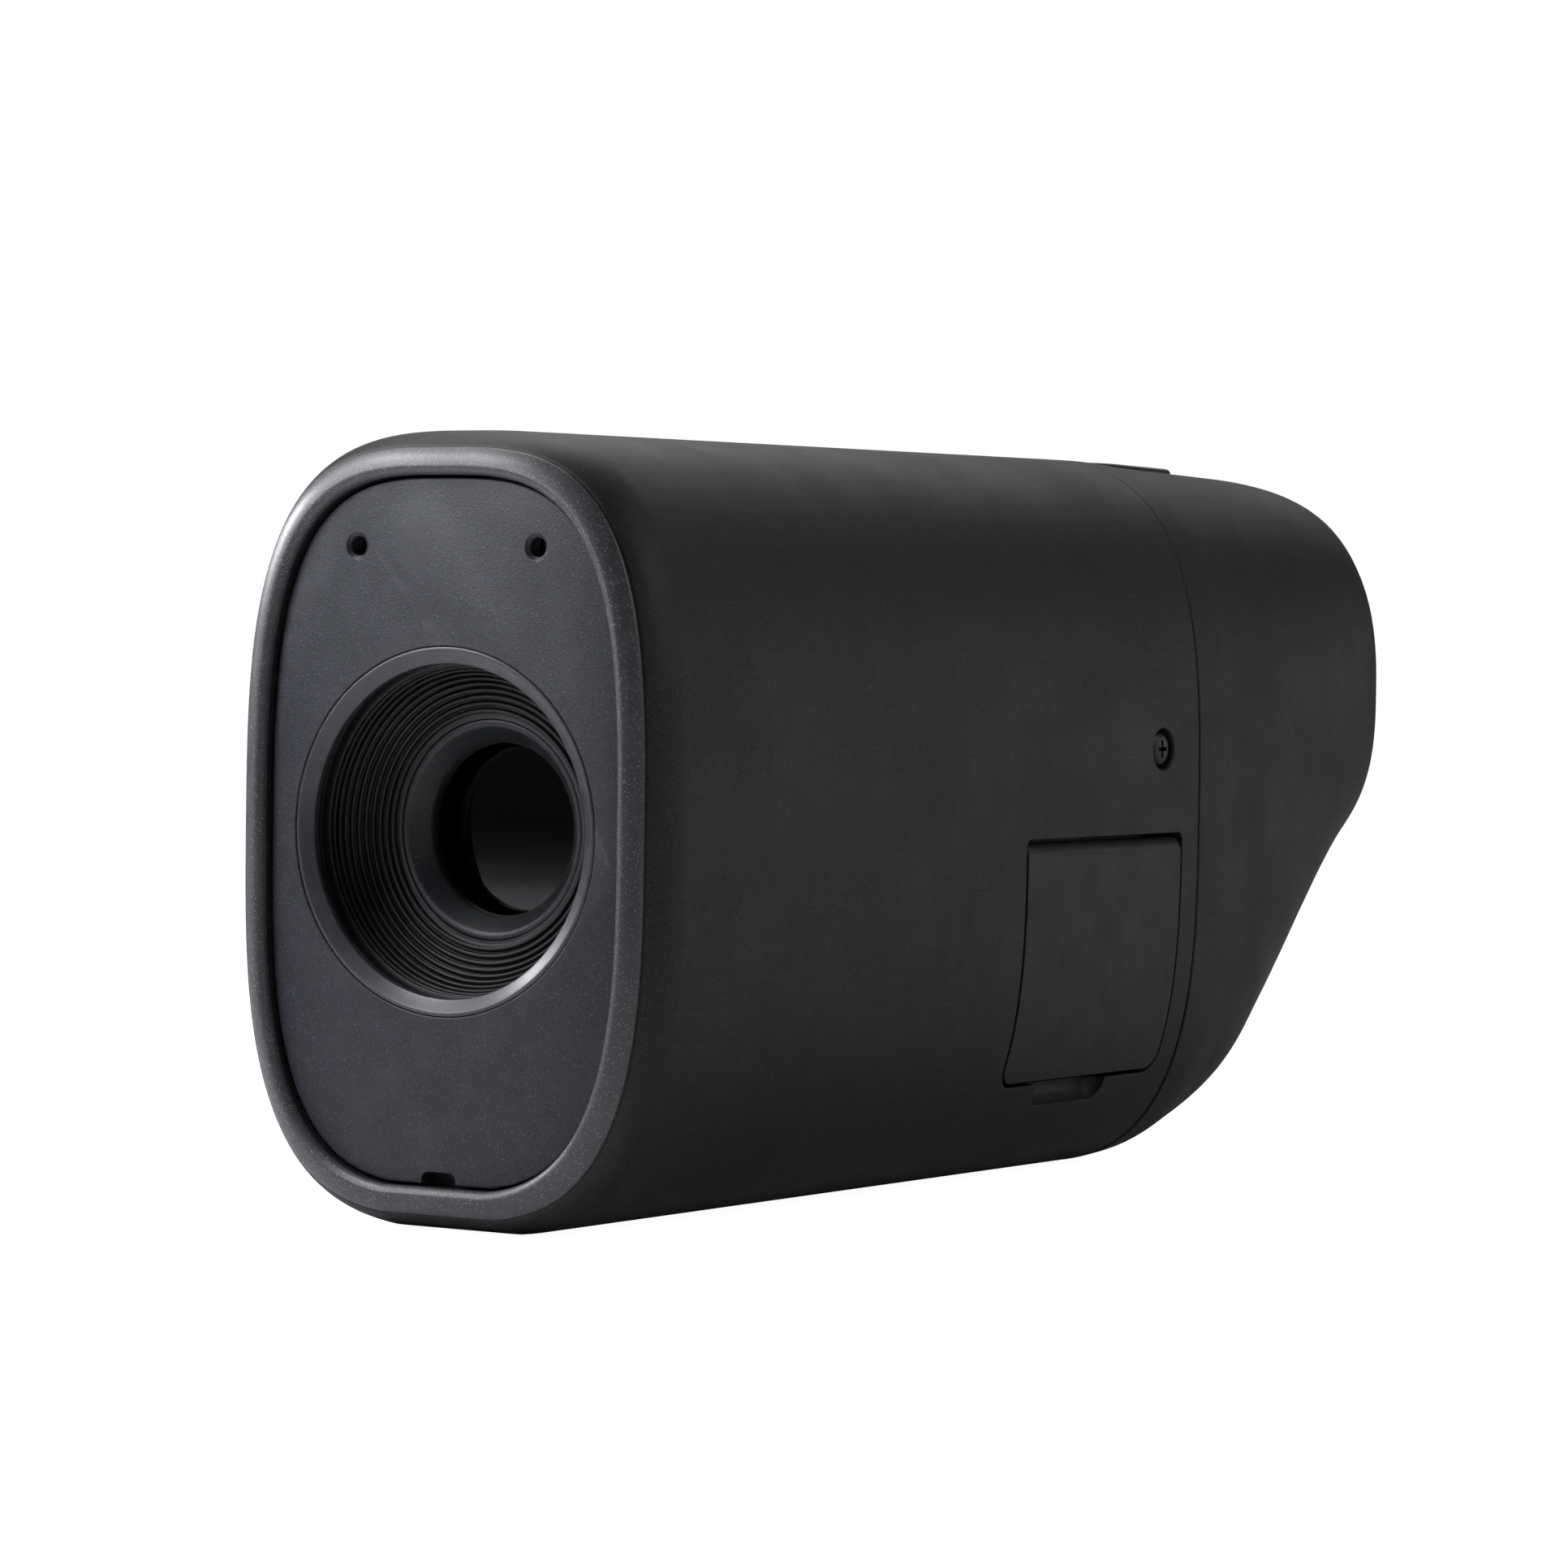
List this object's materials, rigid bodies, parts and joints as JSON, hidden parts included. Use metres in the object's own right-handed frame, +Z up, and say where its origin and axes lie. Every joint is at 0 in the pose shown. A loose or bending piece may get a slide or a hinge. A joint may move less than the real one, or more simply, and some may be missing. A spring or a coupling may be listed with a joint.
{
  "type": "telephoto monocular camera",
  "caption": "Hand-held telephoto viewer with a hooded lens, side port door, top and bottom buttons and an electronic eyepiece.",
  "frame": {"origin": "middle of the bounding box at the flat strip under the body that it rests on", "axes": "+Y from the lens towards the eyepiece, +X towards the side with the port door, +Z up"},
  "size_m": [0.0334, 0.1032, 0.0508],
  "materials": {
    "housing": "fine textured black paint",
    "plate": "dark blue-grey satin with fine metal flecks",
    "trim": "dark blue-grey satin",
    "inner_black": "matt black",
    "door": "fine textured black paint",
    "button": "satin black",
    "rubber": "soft matt black",
    "lens_glass": "coated clear",
    "dark_glass": "gloss black window",
    "steel": "ground",
    "dark_steel": "blackened",
    "chassis": "cast, bead-blasted",
    "board": "solder mask",
    "sensor": "ceramic package",
    "battery": "foil-wrapped cell"
  },
  "bodies": {
    "root": {"main_housing": "housing", "rear_housing": "housing", "front_plate": "plate", "lens_trim_ring": "trim", "baffle_hood": "inner_black", "lens_cell": "inner_black", "front_lens": "lens_glass", "lens_barrel": "inner_black", "guide_rod_upper": "steel", "guide_rod_lower": "steel", "zoom_motor": "steel", "focus_motor": "steel", "sensor_cover_glass": "lens_glass", "image_sensor": "sensor", "sensor_board": "board", "chassis": "chassis", "main_board": "board", "processor_shield": "steel", "battery": "battery", "door_hinge_pin": "steel", "port_bezel": "inner_black", "connector_board": "board", "usb_socket": "steel", "card_socket": "steel", "microphone_right": "steel", "microphone_left": "steel", "microphone_board": "board", "power_switch": "steel", "menu_switch": "steel", "zoom_switch": "steel", "photo_switch": "steel", "video_switch": "steel", "top_switch_board": "board", "bottom_switch_board": "board", "eyepiece_holder": "inner_black", "eyepiece_window": "lens_glass", "eyecup": "rubber", "viewfinder_display": "dark_glass", "viewfinder_board": "board", "eye_sensor_window": "dark_glass", "strap_bar": "dark_steel", "housing_screw_right": "dark_steel", "housing_screw_left": "dark_steel"},
    "door": {"port_door": "door"},
    "power_cap": {"power_button": "button"},
    "menu_cap": {"menu_button": "button"},
    "photo_cap": {"photo_button": "button"},
    "video_cap": {"video_button": "button"},
    "zoom_cap": {"zoom_button": "button"},
    "dioptre_dial": {"dioptre_wheel": "rubber"},
    "eyepiece_group": {"eyepiece_lens": "lens_glass"},
    "zoom_screw": {"zoom_lead_screw": "steel"},
    "zoom_group": {"zoom_carriage": "inner_black", "zoom_lens": "lens_glass"},
    "focus_screw": {"focus_lead_screw": "steel"},
    "focus_group": {"focus_carriage": "inner_black", "focus_lens": "lens_glass"},
    "stabilizer_yaw": {"stabilizer_frame": "chassis"},
    "stabilizer_pitch": {"stabilizer_holder": "inner_black", "stabilizer_lens": "lens_glass"}
  },
  "joints": [
    {"name": "door_hinge", "type": "hinge", "parent": "root", "child": "door", "pos_m": [0.01595, 0.004, 0.02325], "axis": [0, -1, 0], "range_deg": [0, 100]},
    {"name": "power_press", "type": "slide", "parent": "root", "child": "power_cap", "axis": [0, 0, -1], "range_m": [0, 0.00035], "stiffness_N_per_m": 1500},
    {"name": "menu_press", "type": "slide", "parent": "root", "child": "menu_cap", "axis": [0, 0, -1], "range_m": [0, 0.00035], "stiffness_N_per_m": 1500},
    {"name": "zoom_press", "type": "slide", "parent": "root", "child": "zoom_cap", "axis": [0, 0, -1], "range_m": [0, 0.00035], "stiffness_N_per_m": 1500},
    {"name": "photo_press", "type": "slide", "parent": "root", "child": "photo_cap", "axis": [0, 0, 1], "range_m": [0, 0.00035], "stiffness_N_per_m": 1500},
    {"name": "video_press", "type": "slide", "parent": "root", "child": "video_cap", "axis": [0, 0, 1], "range_m": [0, 0.00035], "stiffness_N_per_m": 1500},
    {"name": "dioptre_turn", "type": "hinge", "parent": "root", "child": "dioptre_dial", "pos_m": [-0.01123, 0.037, 0.0215], "axis": [0, 0, 1], "range_deg": [-60, 60]},
    {"name": "eyepiece_slide", "type": "slide", "parent": "root", "child": "eyepiece_group", "axis": [0, 1, 0], "range_m": [-0.0015, 0.0015]},
    {"name": "zoom_screw_turn", "type": "hinge", "parent": "root", "child": "zoom_screw", "pos_m": [-0.0084, 0, 0.0254], "axis": [0, 1, 0], "range_deg": [0, 1620]},
    {"name": "zoom_slide", "type": "slide", "parent": "root", "child": "zoom_group", "axis": [0, 1, 0], "range_m": [0, 0.009]},
    {"name": "focus_screw_turn", "type": "hinge", "parent": "root", "child": "focus_screw", "pos_m": [0.0084, 0, 0.0254], "axis": [0, 1, 0], "range_deg": [0, 1440]},
    {"name": "focus_slide", "type": "slide", "parent": "root", "child": "focus_group", "axis": [0, 1, 0], "range_m": [0, 0.004]},
    {"name": "stabilizer_yaw_slide", "type": "slide", "parent": "root", "child": "stabilizer_yaw", "axis": [1, 0, 0], "range_m": [-0.00035, 0.00035], "stiffness_N_per_m": 30},
    {"name": "stabilizer_pitch_slide", "type": "slide", "parent": "stabilizer_yaw", "child": "stabilizer_pitch", "axis": [0, 0, 1], "range_m": [-0.00035, 0.00035], "stiffness_N_per_m": 30}
  ],
  "couplings": [
    {"joint": "dioptre_turn", "follows": "eyepiece_slide", "rad_per_m": 698.1},
    {"joint": "zoom_screw_turn", "follows": "zoom_slide", "rad_per_m": 3141.5},
    {"joint": "focus_screw_turn", "follows": "focus_slide", "rad_per_m": 6283}
  ]
}
